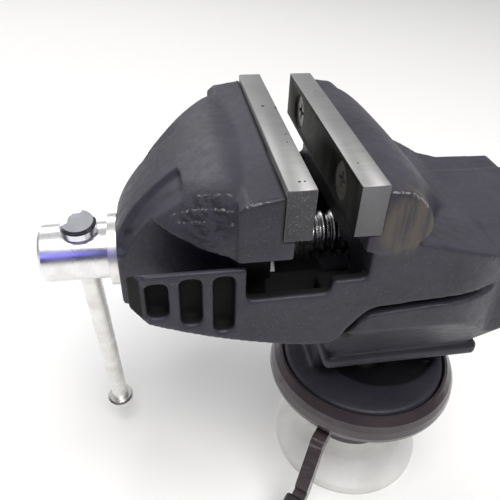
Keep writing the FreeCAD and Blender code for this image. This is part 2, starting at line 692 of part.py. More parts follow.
def movable_jaw():
    jaw_back = -size("face_ahead") - size("jaw_opening") - size("plate_thick")
    top = size("jaw_height") - size("plate_proud")
    half = body_half()
    nose = -size("nose_ahead")
    hub = size("hub_bottom")
    block_back = jaw_back - size("block_deep")
    run = block_back - nose
    sections = [(jaw_back, half, top, 8)]
    for along in (0, 0.14, 0.28, 0.42, 0.56, 0.69, 0.8, 0.89, 0.96, 1):
        fullness = 1 - along ** 1.6
        sections.append((block_back - run * along, half - 22.3 + 21.7 * fullness ** 0.9,
                         top - 26.4 + 26 * fullness ** 0.78,
                         11 + 6 * math.sin(math.pi * along)))
    casting = dome(sections, hub)
    # Under the wings the casting steps in to a wall that narrows towards the nose.
    wing_root = size("block_bottom")
    under_wing = outline((block_back, hub - 1), (block_back, wing_root),
                         (block_back - 2, wing_root + 1), (block_back - 6, wing_root + 1.9),
                         (block_back - 15, wing_root + 2.6), (nose - 1, wing_root + 3.1),
                         (nose - 1, hub - 1))
    for side in (-1, 1):
        corners = [(block_back, size("shoulder_half")), (nose - 1, size("wing_foot_half")),
                   (nose - 1, half + 1), (block_back, half + 1), (block_back, size("shoulder_half"))]
        outer = Part.Face(Part.makePolygon([Vector(x, side * y, hub - 2) for x, y in corners]))
        outer = outer.extrude(Vector(0, 0, size("jaw_height") - hub))
        casting = casting.cut(slab(under_wing, half + 2).common(outer))
    lip_end = jaw_back + size("block_lip")
    under_block = side_slabs(outline((block_back, hub - 1), (lip_end, hub - 1),
                                     (lip_end, wing_root), (block_back, wing_root)),
                             size("shoulder_half"), half + 1)
    casting = casting.cut(under_block)
    web = span(block_back - 1, jaw_back, -size("shoulder_half"), size("shoulder_half"),
               size("shoulder_bottom"), size("jaw_height") - size("plate_tall"))
    rails = span(block_back - 1, size("rail_behind"), -size("slide_half"), size("slide_half"),
                 size("rail_bottom"), size("rail_top"))
    ends = [e for e in rails.Edges if e.BoundBox.XMin > size("rail_behind") - 0.01
            and e.BoundBox.YLength > 1]
    rails = rails.makeFillet(2, ends)
    solid = casting.fuse([jaw_block(-1, jaw_back), web, rails])
    for inner, low, high in ((size("slide_half"), hub - 1, size("shoulder_bottom")),
                             (size("nut_half"), hub - 1, size("rail_bottom"))):
        edge = outline((nose - 1, low), (lip_end, low), (lip_end, high), (nose - 1, high))
        solid = solid.cut(side_slabs(edge, inner, half + 1))
    between = span(jaw_back, size("rail_behind") + 1, -size("rail_inner"), size("rail_inner"),
                   hub - 1, size("block_bottom"))
    bore = Part.makeCylinder(size("screw_radius") + size("bore_gap"), run + 40,
                             Vector(nose - 1, 0, size("screw_height")), Vector(1, 0, 0))
    solid = solid.cut(between.fuse([bore, plate_screw_holes(jaw_back, -1)]))
    # The crease beside the screw boss: a thin blade kept to the outer skin.
    skin = casting.cut(dome(sections, hub, size("crease_deep")))
    wide = size("crease_half")
    blade = outline(
        (nose - 1, 65.5), (nose + 3.6, 75, nose + 10.2, 83), (nose + 17.2, 89.2),
        (nose + 19, 89.2, nose + 18.8, 87.6), (nose + 12.2, 81.4),
        (nose + 6.8, 74.2, nose + 1.1 + wide, 65.5))
    solid = solid.cut(side_slabs(blade, size("rail_inner") - 2, half + 1).common(skin))
    return feature_from("movable_jaw", solid.removeSplitter(), z=size("foot_level"))


# Jaw plates and their screws

def jaw_plate(name, front, side):
    # A plate with two countersunk screw holes. side is 1 where the face looks to -X.
    body = new_body(name)
    sketch = new_sketch(body, "YZ_Plane", "Face")
    half = "jaw_width / 2"
    add_polygon(sketch, [("-" + half, "-plate_tall"), (half, "-plate_tall"),
                         (half, "0"), ("-" + half, "0")])
    pad(body, sketch, "plate_thick")
    holes = new_sketch(body, "YZ_Plane", "Holes")
    for sign in ("-", ""):
        add_circle(holes, "plate_screw_radius", sign + "plate_screw_space / 2",
                   "-plate_screw_drop")
    if side < 0:
        bind(holes, "AttachmentOffset.Base.z", "plate_thick")
    doc.recompute()
    before = body.Shape.Volume
    drill = body.newObject("PartDesign::Hole", "Countersinks")
    drill.Profile = holes
    drill.ThreadType = "None"
    drill.DepthType = "ThroughAll"
    drill.HoleCutType = "Countersink"
    drill.HoleCutCustomValues = True
    drill.Reversed = side > 0
    bind(drill, "Diameter", "2 * (plate_screw_radius + bore_gap)")
    bind(drill, "HoleCutDiameter", "2 * (plate_head_radius + bore_gap + plate_head_sunk)")
    drill.HoleCutCountersinkAngle = 90
    doc.recompute()
    if body.Shape.Volume >= before:
        raise RuntimeError("The holes of %s cut nothing" % name)
    place(body, front, "0", "foot_level + jaw_height")
    return body


def plate_screws(label, face_x, direction):
    # Two countersunk cross-head screws, one solid each.
    height = size("foot_level") + size("jaw_height") - size("plate_screw_drop")
    head = size("plate_head_radius")
    shank = size("plate_screw_radius")
    sunk = size("plate_head_sunk")
    screws = []
    for side in (-1, 1):
        start = Vector(face_x + direction * sunk, side * size("plate_screw_space") / 2, height)
        along = Vector(direction, 0, 0)
        cone = Part.makeCone(head, shank, head - shank, start, along)
        rod = Part.makeCylinder(shank, size("plate_screw_long"), start, along)
        screw = cone.fuse(rod)
        cross = 0.55 * head
        for wide, tall in ((0.13 * head, cross), (cross, 0.13 * head)):
            bar = Part.makeBox(size("plate_head_deep") * 0.7, 2 * wide, 2 * tall,
                               Vector(min(0, direction) * size("plate_head_deep") * 0.7,
                                      -wide, -tall))
            bar.translate(start)
            screw = screw.cut(bar)
        screws.append(screw)
    return feature_from(label, Part.makeCompound(screws))


# Screw, handle and their small parts

def head_front():
    return "-(nose_ahead + running_gap + thrust_thick)"


def lead_screw():
    body = new_body("lead_screw")
    crest = "screw_radius - thread_under"
    journal_end = "-(face_ahead + jaw_opening + plate_thick - retainer_thick - 0.4)"
    head = head_front()
    profile = [
        (head + " - head_long", "0"), (head + " - head_long", "head_radius - 0.8"),
        (head + " - head_long + 0.8", "head_radius"), (head, "head_radius"),
        (head, "screw_radius"), (journal_end, "screw_radius"), (journal_end, crest),
        ("screw_behind - thread_deep", crest), ("screw_behind", crest + " - thread_deep"),
        ("screw_behind", "0")]
    revolve(body, profile, "H_Axis")
    # One thread groove, then a row of them.
    groove_sketch = new_sketch(body, "XZ_Plane", "GrooveProfile")
    first = journal_end + " + 3 * pin_radius + 1"
    add_polygon(groove_sketch, [
        (first, crest + " + 0.2"), (first + " + thread_pitch * 0.31", crest + " - thread_deep"),
        (first + " + thread_pitch * 0.49", crest + " - thread_deep"),
        (first + " + thread_pitch * 0.8", crest + " + 0.2")])
    groove = body.newObject("PartDesign::Groove", "ThreadGroove")
    groove.Profile = groove_sketch
    groove.ReferenceAxis = (groove_sketch, ["H_Axis"])
    groove.Angle = 360
    doc.recompute()
    row = body.newObject("PartDesign::LinearPattern", "ThreadRow")
    row.Originals = [groove]
    row.Direction = (groove_sketch, ["H_Axis"])
    length = "screw_behind - (%s) - 2 * thread_pitch" % first
    bind(row, "Occurrences", "floor((%s) / thread_pitch)" % length)
    bind(row, "Length", "(floor((%s) / thread_pitch) - 1) * thread_pitch" % length)
    body.Tip = row
    doc.recompute()
    place(body, "0", "0", "foot_level + screw_height")
    holes = []
    for name, along, radius, reach, turn in (
            ("BarHole", head + " - bar_from_washer", "bar_radius + 2 * bore_gap",
             "head_radius + 1", "bar_tilt"),
            ("PinHole", journal_end + " + pin_radius + 0.5", "pin_radius + bore_gap",
             "screw_radius + 1", "-pin_turn")):
        hole = cylinder(name, radius, "2 * (%s)" % reach)
        hole.Placement.Rotation = FreeCAD.Rotation(Vector(1, 0, 0), 10)
        bind(hole, "Placement.Rotation.Angle", turn)
        place(hole, along, "(%s) * sin(%s)" % (reach, turn),
              "foot_level + screw_height - (%s) * cos(%s)" % (reach, turn))
        holes.append(hole)
    return subtract("lead_screw_drilled", subtract("ScrewWithBarHole", body, holes[0]), holes[1])


def handle_bar():
    start = "head_radius + running_gap + cap_tall * 0.6"
    bar = cylinder("handle_bar", "bar_radius", "%s + head_radius + bar_travel + cap_tall * 0.6"
                   % start)
    turn_about_bar_hole(bar, "-(head_radius + bar_travel + cap_tall * 0.6)")
    return bar


def turn_about_bar_hole(thing, distance):
    # Stand a piece on the bar's axis, this far from the screw axis, upwards positive.
    thing.Placement.Rotation = FreeCAD.Rotation(Vector(1, 0, 0), 10)
    bind(thing, "Placement.Rotation.Angle", "bar_tilt")
    place(thing, head_front() + " - bar_from_washer", "-(%s) * sin(bar_tilt)" % distance,
          "foot_level + screw_height + (%s) * cos(bar_tilt)" % distance)


def handle_cap(name, upward):
    body = new_body(name)
    sign = "" if upward else "-"
    deep = "cap_tall * 0.6"
    profile = [("0", sign + deep), ("bar_radius", sign + deep), ("bar_radius", "0"),
               ("cap_radius - 0.7", "0"), ("cap_radius", sign + "0.7"),
               ("cap_radius", sign + "cap_tall * 0.62"),
               ("cap_radius * 0.86", sign + "cap_tall * 0.86"),
               ("cap_radius * 0.5", sign + "cap_tall * 0.98"), ("0", sign + "cap_tall")]
    revolve(body, profile)
    distance = "head_radius + running_gap" if upward else "-(head_radius + bar_travel)"
    turn_about_bar_hole(body, distance)
    return body


def retaining_pin():
    pin = cylinder("retaining_pin", "pin_radius", "2 * pin_half")
    pin.Placement.Rotation = FreeCAD.Rotation(Vector(1, 0, 0), 10)
    bind(pin, "Placement.Rotation.Angle", "-pin_turn")
    place(pin, "-(face_ahead + jaw_opening + plate_thick - retainer_thick - 0.4)"
          " + pin_radius + 0.5", "-pin_half * sin(pin_turn)",
          "foot_level + screw_height - pin_half * cos(pin_turn)")
    return pin


# Lead nut

def lead_nut():
    solid = block("NutBlock", "nut_long", "2 * nut_half", "nut_tall",
                  "-nut_ahead", "-nut_half", "foot_level + hub_bottom")
    bore = cylinder("NutBore", "screw_radius + bore_gap", "nut_long + 2")
    bore.Placement.Rotation = FreeCAD.Rotation(Vector(0, 1, 0), 90)
    place(bore, "-nut_ahead - 1", "0", "foot_level + screw_height")
    bolt_hole = cylinder("NutBoltHole", "nut_bolt_radius + bore_gap", "nut_bolt_grip + 1",
                         "nut_long / 2 - nut_ahead", "0", "foot_level + hub_bottom - 1")
    return subtract("lead_nut_bored", subtract("NutWithBore", solid, bore), bolt_hole)


def hex_piece(name, flats, tall, hole=None):
    body = new_body(name)
    sketch = new_sketch(body, "XY_Plane", "Hexagon")
    add_polygon(sketch, hexagon(flats))
    if hole:
        add_circle(sketch, hole)
    pad(body, sketch, tall)
    return body


def nut_bolt():
    head = hex_piece("NutBoltHead", "nut_bolt_flats", "nut_bolt_head")
    top = "foot_level + keel_bottom - 4.5 - nut_washer_thick"
    place(head, "nut_long / 2 - nut_ahead", "0", top + " - nut_bolt_head")
    shank = cylinder("NutBoltShank", "nut_bolt_radius",
                     "hub_bottom + nut_bolt_grip - keel_bottom + 4.5 + nut_washer_thick",
                     "nut_long / 2 - nut_ahead", "0", top)
    return unite("nut_bolt", [head, shank])


# Suction housing and the swivel stack

def suction_housing():
    body = new_body("HousingCasting")
    foot = "foot_level"
    deck = "foot_level - foot_thick - fibre_thick"
    inner = "foot_radius + 0.4"
    floor = "shelf_height + shelf_thick"
    points = [
        (inner, foot + " - housing_lip - 0.5"), (inner + " + 0.4", foot + " - housing_lip"),
        (inner + " + 1.3", foot + " - housing_lip - 0.1"),
        ("housing_bulge - 1.4", foot + " - bulge_drop * 0.35"),
        ("housing_bulge - 0.4", foot + " - bulge_drop * 0.62"),
        ("housing_bulge", foot + " - bulge_drop"),
        ("housing_bulge - 0.4", foot + " - bulge_drop - 2"),
        ("housing_bulge - 1.6", foot + " - bulge_drop - 3.8"),
        ("waist_radius", foot + " - waist_drop"),
        ("stalk_radius", "shelf_height + shelf_thick + 0.4"), ("stalk_radius", "shelf_height"),
        ("stem_radius + bore_gap", "shelf_height"), ("stem_radius + bore_gap", floor),
        ("stalk_radius - housing_wall", floor),
        ("waist_radius - housing_wall - 0.6", foot + " - waist_drop"),
        ("waist_radius - housing_wall", deck + " - deck_thick"),
        ("pivot_radius + bore_gap", deck + " - deck_thick"),
        ("pivot_radius + bore_gap", deck), (inner, deck)]
    revolve(body, points)
    # The slot that the lever swings in, as a sector of a ring.
    slot = doc.addObject("Part::Feature", "LeverSlot")
    low = size("foot_level") - size("lever_drop") - size("lever_deep") - size("slot_gap")
    tall = size("lever_deep") + 2 * size("slot_gap")
    inside = size("lift_pin_half") + 3
    outside = size("housing_bulge") + 2
    margin = math.degrees((size("lever_thick") / 2 + size("slot_gap")) / inside)
    sector = Part.makeCylinder(outside, tall, Vector(0, 0, low), Vector(0, 0, 1),
                               size("lever_swing") + 2 * margin)
    sector = sector.cut(Part.makeCylinder(inside, tall, Vector(0, 0, low)))
    sector.rotate(Vector(0, 0, 0), Vector(0, 0, 1), size("lever_angle") - margin)
    slot.Shape = sector
    screw_holes = foot_screw_rods("FootScrewHoles", size("foot_screw_radius")
                                  + size("bore_gap"), size("shelf_thick") + 2)
    drilled = subtract("HousingWithSlot", body, slot)
    return subtract("suction_housing", drilled, screw_holes)


def foot_screw_rods(name, radius, long, low=None):
    # Three upright rods on the screw circle.
    start = size("shelf_height") - 1 if low is None else low
    rods = []
    for i in range(3):
        angle = math.radians(30 + 120 * i)
        at = size("foot_screw_circle")
        rods.append(Part.makeCylinder(radius, long, Vector(at * math.cos(angle),
                                                           at * math.sin(angle), start)))
    rods_feature = doc.addObject("Part::Feature", name)
    rods_feature.Shape = Part.makeCompound(rods)
    return rods_feature


def suction_foot():
    # A pale bell under the housing, whose rim stands on the table.
    body = new_body("SuctionFootBell")
    rim = "suction_radius - suction_rim"
    revolve(body, [
        ("stem_radius + bore_gap", "suction_roof"), ("stem_radius + bore_gap", "shelf_height"),
        ("stalk_radius", "shelf_height"), ("stalk_radius + 0.3", "shelf_height - 4.5"),
        ("stalk_radius + 2.2", "shelf_height - 8"), ("stalk_radius + 6", "7"),
        ("suction_radius - 3", "4.6"), ("suction_radius - 0.8", "3.2"),
        ("suction_radius", "1.6"), ("suction_radius", "0"), (rim, "0"), (rim, "2.2"),
        ("lift_plate_radius + 3", "8.8"), ("lift_plate_radius + 1.5", "suction_roof")])
    heads = foot_screw_rods("FootScrewHeads", size("foot_screw_head") + 0.2, 3.4,
                            size("suction_roof") - 1)
    holes = foot_screw_rods("FootScrewClearance", size("foot_screw_radius") + 0.05,
                            size("shelf_height"), size("suction_roof") - 1)
    return subtract("suction_foot", subtract("FootWithHeads", body, heads), holes)


def foot_screws():
    low = size("suction_roof") + 0.2
    shanks = foot_screw_rods("FootScrewShanks", size("foot_screw_radius"),
                             size("shelf_height") - size("suction_roof")
                             + size("shelf_thick") - 0.6, low)
    heads = foot_screw_rods("FootScrewCaps", size("foot_screw_head"), 2.2, low)
    solids = [shank.fuse(head) for shank, head in zip(shanks.Shape.Solids, heads.Shape.Solids)]
    return feature_from("foot_screws", Part.makeCompound(solids))


def pivot_bolt():
    deck = "foot_level - foot_thick - fibre_thick"
    body = new_body("pivot_bolt")
    top = ("foot_level - dish_deep + spring_washer_tall + pivot_nut_tall + pivot_end - (%s)"
           " + deck_thick" % deck)
    revolve(body, [
        ("0", "-pivot_head_tall"), ("pivot_head_radius - 1.5", "-pivot_head_tall"),
        ("pivot_head_radius", "-pivot_head_tall + 1.5"), ("pivot_head_radius", "0"),
        ("pivot_radius", "0"), ("pivot_radius", top + " - 0.8"),
        ("pivot_radius - 0.8", top), ("0", top)])
    place(body, "0", "0", deck + " - deck_thick")
    return body


def spring_washer():
    body = ring("SpringWasherRing", "pivot_radius + bore_gap", "pivot_radius + 3.5",
                "spring_washer_tall", "foot_level - dish_deep")
    slit = block("SpringWasherSlit", "pivot_radius + 5", "0.8", "spring_washer_tall + 2",
                 "0", "-0.4", "foot_level - dish_deep - 1")
    return subtract("pivot_spring_washer", body, slit)


# Suction lock

def lock_lever():
    # A cam ring on the shelf, whose bent arm leaves the housing through the slot.
    shelf = size("shelf_height") + size("shelf_thick")
    outer = size("cam_radius")
    tall = size("cam_height")
    rise = size("lift") / (2 * math.sin(math.radians(size("lever_swing") / 2))
                           * size("lift_pin_half"))
    ring_solid = Part.makeCylinder(outer, tall + rise * outer, Vector(0, 0, shelf))
    ring_solid = ring_solid.cut(Part.makeCylinder(size("cam_bore"), tall * 3,
                                                  Vector(0, 0, shelf + size("cam_floor"))))
    ring_solid = ring_solid.cut(Part.makeCylinder(size("cam_guide"), tall, Vector(0, 0, shelf)))
    # Each half of the ring slopes the other way, so that the pin climbs on both sides.
    tilt = math.degrees(math.atan(rise))
    for side in (0, 180):
        wedge = Part.makeBox(outer * 4, outer * 2, outer, Vector(-outer * 2, 0, 0))
        wedge.rotate(Vector(0, 0, 0), Vector(0, 1, 0), -tilt)
        wedge.translate(Vector(0, 0, shelf + tall))
        wedge.rotate(Vector(0, 0, 0), Vector(0, 0, 1), side)
        ring_solid = ring_solid.cut(wedge)
    high_side = size("lever_angle") - size("lever_swing") / 2
    ring_solid.rotate(Vector(0, 0, 0), Vector(0, 0, 1), high_side)
    top = size("foot_level") - size("lever_drop")
    bottom = top - size("lever_deep")
    deep = size("lever_deep")
    wall = size("housing_bulge")
    reach = size("lever_reach")
    tip = shelf - 4
    arm = outline(
        (outer - 3, shelf), (outer + 0.8, shelf), (outer + 6, shelf + 8), (outer + 7, bottom),
        (wall - 1.2, bottom), (wall + 1.2, bottom - 1.5),
        (wall + 7.5, tip + 1.5), (wall + 10, tip - 1), (reach, tip - 3),
        (reach, tip - 3 + deep), (wall + 12, tip + deep - 1.5),
        (wall + 7 + deep, tip + deep + 1), (wall + deep - 1.6, top - 3),
        (wall + deep - 2.8, top - 0.6, wall + deep - 5, top),
        (outer + 3.5, top), (outer - 0.5, shelf + 7.5), (outer - 3, shelf + 4.2))
    arm = slab(arm, size("lever_thick") / 2)
    arm.rotate(Vector(0, 0, 0), Vector(0, 0, 1), size("lever_angle"))
    return feature_from("lock_lever", ring_solid.fuse(arm).removeSplitter())


def lever_grip():
    # A moulded sleeve pushed over the lever's tip.
    shelf = size("shelf_height") + size("shelf_thick")
    tip = shelf - 4
    reach = size("lever_reach")
    deep = size("lever_deep")
    wall = size("grip_wall")
    start = reach - size("grip_long") + 2
    slope = 2 / (reach - size("housing_bulge") - 10)
    upper_slope = 1.5 / (reach - size("housing_bulge") - 12)
    rise = slope * (reach - start)
    half = size("lever_thick") / 2
    outside = outline((start, tip - 3 + rise - wall), (reach + 2, tip - 3 - wall - 0.2),
                      (reach + 2, tip - 3 + deep + wall), (start, tip - 3 + deep + wall + rise))
    outside = slab(outside, half + wall)
    outside = outside.makeFillet(1.2, outside.Edges)
    gap = 0.02
    inside = outline((start - 1, tip - 3 + rise + slope - gap), (reach + gap, tip - 3 - gap),
                     (reach + gap, tip - 3 + deep + gap),
                     (start - 1, tip - 3 + deep + upper_slope * (reach - start + 1) + gap))
    core = slab(inside, half + gap)
    for shape in (outside, core):
        shape.rotate(Vector(0, 0, 0), Vector(0, 0, 1), size("lever_angle"))
    return feature_from("lever_grip", outside.cut(core))


def pin_height():
    # The lift pin's axis with the lock released: its underside lies just over the cam.
    return ("shelf_height + shelf_thick + cam_height - lift / 2 + lift_pin_radius"
            " + running_gap + 0.1")


def lift_stem():
    body = new_body("StemRod")
    low = "pad_thick"
    top = pin_height() + " + lift_pin_radius + 1.6"
    revolve(body, [("0", low), ("spigot_radius", low), ("spigot_radius", low + " + lift_plate_thick"),
                   ("stem_radius", low + " + lift_plate_thick"), ("stem_radius", top), ("0", top)])
    hole = cylinder("StemHole", "lift_pin_radius + bore_gap", "4 * stem_radius")
    lay_across(hole, "2 * stem_radius")
    return subtract("lift_stem", body, hole)


def lay_across(thing, half):
    # Lay a rod flat through the stem, square to the lever.
    thing.Placement.Rotation = FreeCAD.Rotation(Vector(0, 0, 1), size("lever_angle") + 90) * \
        FreeCAD.Rotation(Vector(0, 1, 0), 90)
    place(thing, "-(%s) * cos(lever_angle + 90)" % half, "-(%s) * sin(lever_angle + 90)" % half,
          pin_height())


def lift_pin():
    pin = cylinder("lift_pin", "lift_pin_radius", "2 * lift_pin_half")
    lay_across(pin, "lift_pin_half")
    return pin


def return_spring():
    # A cone spring between the roof of the suction foot and the lift plate.
    body = new_body("return_spring")
    low = "pad_thick + lift_plate_thick + 0.05"
    high = "suction_roof - 0.05"
    revolve(body, [("stem_radius + 0.8", low), ("stem_radius + 2", low),
                   ("stem_radius + 2.6", high), ("stem_radius + 1.4", high)])
    return body


def rubber_pad():
    # The suction pad as it lies released, flat on the table.
    body = new_body("rubber_pad")
    lip = "suction_radius - suction_rim - 0.3"
    top = "pad_thick - 0.05"
    revolve(body, [("0", "0"), (lip, "0"), (lip, "1.8"), ("lift_plate_radius + 3", top),
                   ("0", top)])
    return body


swivel_deck = "foot_level - foot_thick - fibre_thick"
jaw_face = "-(face_ahead + jaw_opening)"
washer_back = "-(nose_ahead + running_gap)"
retainer_front = "-(face_ahead + jaw_opening + plate_thick)"
PIECES = {
    "fixed_body": fixed_body(),
    "movable_jaw": movable_jaw(),
    "fixed_jaw_plate": jaw_plate("fixed_jaw_plate", "-face_ahead", 1),
    "movable_jaw_plate": jaw_plate("movable_jaw_plate", jaw_face + " - plate_thick", -1),
    "fixed_plate_screws": plate_screws("fixed_plate_screws", -size("face_ahead"), 1),
    "movable_plate_screws": plate_screws(
        "movable_plate_screws", -size("face_ahead") - size("jaw_opening"), -1),
    "lead_screw": lead_screw(),
    "thrust_washer": ring("thrust_washer", "screw_radius + bore_gap", "thrust_radius",
                          "thrust_thick", "foot_level + screw_height", "YZ_Plane",
                          washer_back + " - thrust_thick"),
    "retaining_washer": ring("retaining_washer", "screw_radius + bore_gap", "rail_inner - 0.8",
                             "retainer_thick", "foot_level + screw_height", "YZ_Plane",
                             retainer_front),
    "retaining_pin": retaining_pin(),
    "lead_nut": lead_nut(),
    "nut_bolt": nut_bolt(),
    "nut_bolt_washer": ring("nut_bolt_washer", "nut_bolt_radius + bore_gap",
                            "nut_bolt_flats / 2 + 1", "nut_washer_thick",
                            "foot_level + keel_bottom - 4.5 - nut_washer_thick",
                            x="nut_long / 2 - nut_ahead"),
    "handle_bar": handle_bar(),
    "handle_cap_top": handle_cap("handle_cap_top", True),
    "handle_cap_bottom": handle_cap("handle_cap_bottom", False),
    "suction_housing": suction_housing(),
    "suction_foot": suction_foot(),
    "foot_screws": foot_screws(),
    "swivel_washer": ring("swivel_washer", "pivot_radius + 3", "fibre_radius", "fibre_thick",
                          swivel_deck),
    "pivot_bolt": pivot_bolt(),
    "pivot_spring_washer": spring_washer(),
    "pivot_nut": hex_piece("pivot_nut", "pivot_nut_flats", "pivot_nut_tall",
                           "pivot_radius + bore_gap"),
    "lock_lever": lock_lever(),
    "lever_grip": lever_grip(),
    "lift_stem": lift_stem(),
    "lift_pin": lift_pin(),
    "lift_plate": ring("lift_plate", "spigot_radius + bore_gap", "lift_plate_radius",
                       "lift_plate_thick", "pad_thick"),
    "return_spring": return_spring(),
    "rubber_pad": rubber_pad(),
}
place(PIECES["pivot_nut"], "0", "0", "foot_level - dish_deep + spring_washer_tall")
for label, piece in PIECES.items():
    piece.Label = label

doc.recompute()
for thing in doc.Objects:
    if "Invalid" in thing.State or "Error" in thing.State:
        raise RuntimeError("%s failed: %s" % (thing.Label, thing.State))
for label, piece in PIECES.items():
    if piece.Shape.isNull() or not piece.Shape.isValid():
        raise RuntimeError("%s has no valid shape" % label)

os.makedirs("parts", exist_ok=True)
for label, piece in PIECES.items():
    piece.Shape.exportStep("parts/%s.step" % label)
    box = piece.Shape.BoundBox
    print("%s: %d solids, %.0f mm3, X %.1f to %.1f, Y %.1f to %.1f, Z %.1f to %.1f" % (
        label, len(piece.Shape.Solids), piece.Shape.Volume, box.XMin, box.XMax,
        box.YMin, box.YMax, box.ZMin, box.ZMax))
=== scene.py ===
# Looks of the suction base vise, metres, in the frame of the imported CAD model.
import math

import bmesh
import bpy
from mathutils import Matrix, Vector


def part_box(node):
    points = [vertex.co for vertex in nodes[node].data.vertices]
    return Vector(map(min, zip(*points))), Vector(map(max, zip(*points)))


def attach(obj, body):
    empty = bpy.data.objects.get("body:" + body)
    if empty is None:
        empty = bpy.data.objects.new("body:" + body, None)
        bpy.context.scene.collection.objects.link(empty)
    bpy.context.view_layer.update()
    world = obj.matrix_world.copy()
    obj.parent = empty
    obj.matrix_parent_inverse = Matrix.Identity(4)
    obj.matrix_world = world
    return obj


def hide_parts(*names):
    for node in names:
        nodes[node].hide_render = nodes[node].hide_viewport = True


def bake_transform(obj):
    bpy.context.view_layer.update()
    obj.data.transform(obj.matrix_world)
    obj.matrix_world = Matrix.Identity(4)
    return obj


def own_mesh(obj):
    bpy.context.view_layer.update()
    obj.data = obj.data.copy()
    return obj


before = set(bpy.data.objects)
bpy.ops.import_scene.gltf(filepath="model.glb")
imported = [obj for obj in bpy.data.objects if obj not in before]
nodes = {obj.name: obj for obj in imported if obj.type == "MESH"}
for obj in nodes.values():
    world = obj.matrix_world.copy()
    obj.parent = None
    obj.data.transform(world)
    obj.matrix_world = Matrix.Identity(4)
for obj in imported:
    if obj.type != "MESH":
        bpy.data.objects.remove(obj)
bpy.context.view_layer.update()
scene = bpy.context.scene

# Places that the looks take from the CAD
screw_low, screw_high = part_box("lead_screw")
plate_low, plate_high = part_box("movable_jaw_plate")
SCREW_HEIGHT = (screw_low.z + screw_high.z) / 2
THREAD_END = screw_high.x - 0.0002

# The thread, with the CAD's own sizes
THREAD_START = -0.0381
THREAD_PITCH = 0.0035
THREAD_CREST = 0.0079
THREAD_ROOT = 0.0063

# The pinhole camera that was fitted to the photograph: angles in radians, the sensor in millimetres
EYE = (-0.072457, -0.135791, 0.212445)
YAW = 0.1856005
PITCH = 0.6489141
ROLL = -0.0398811
FOCAL_PIXELS = 534.193
PHOTO_WIDTH = 500
SENSOR_WIDTH = 36


def make_camera():
    ahead = math.cos(PITCH)
    forward = Vector((math.sin(YAW) * ahead, math.cos(YAW) * ahead, -math.sin(PITCH)))
    level = Vector((math.cos(YAW), -math.sin(YAW), 0))
    below = forward.cross(level)
    right = level * math.cos(ROLL) + below * math.sin(ROLL)
    down = below * math.cos(ROLL) - level * math.sin(ROLL)
    data = bpy.data.cameras.new("camera")
    data.sensor_width = SENSOR_WIDTH
    data.lens = SENSOR_WIDTH * FOCAL_PIXELS / PHOTO_WIDTH
    data.clip_start = 0.005
    data.clip_end = 20
    camera = bpy.data.objects.new("camera", data)
    turn = Matrix((right, -down, -forward)).transposed().to_4x4()
    camera.matrix_world = Matrix.Translation(EYE) @ turn
    scene.collection.objects.link(camera)
    scene.camera = camera


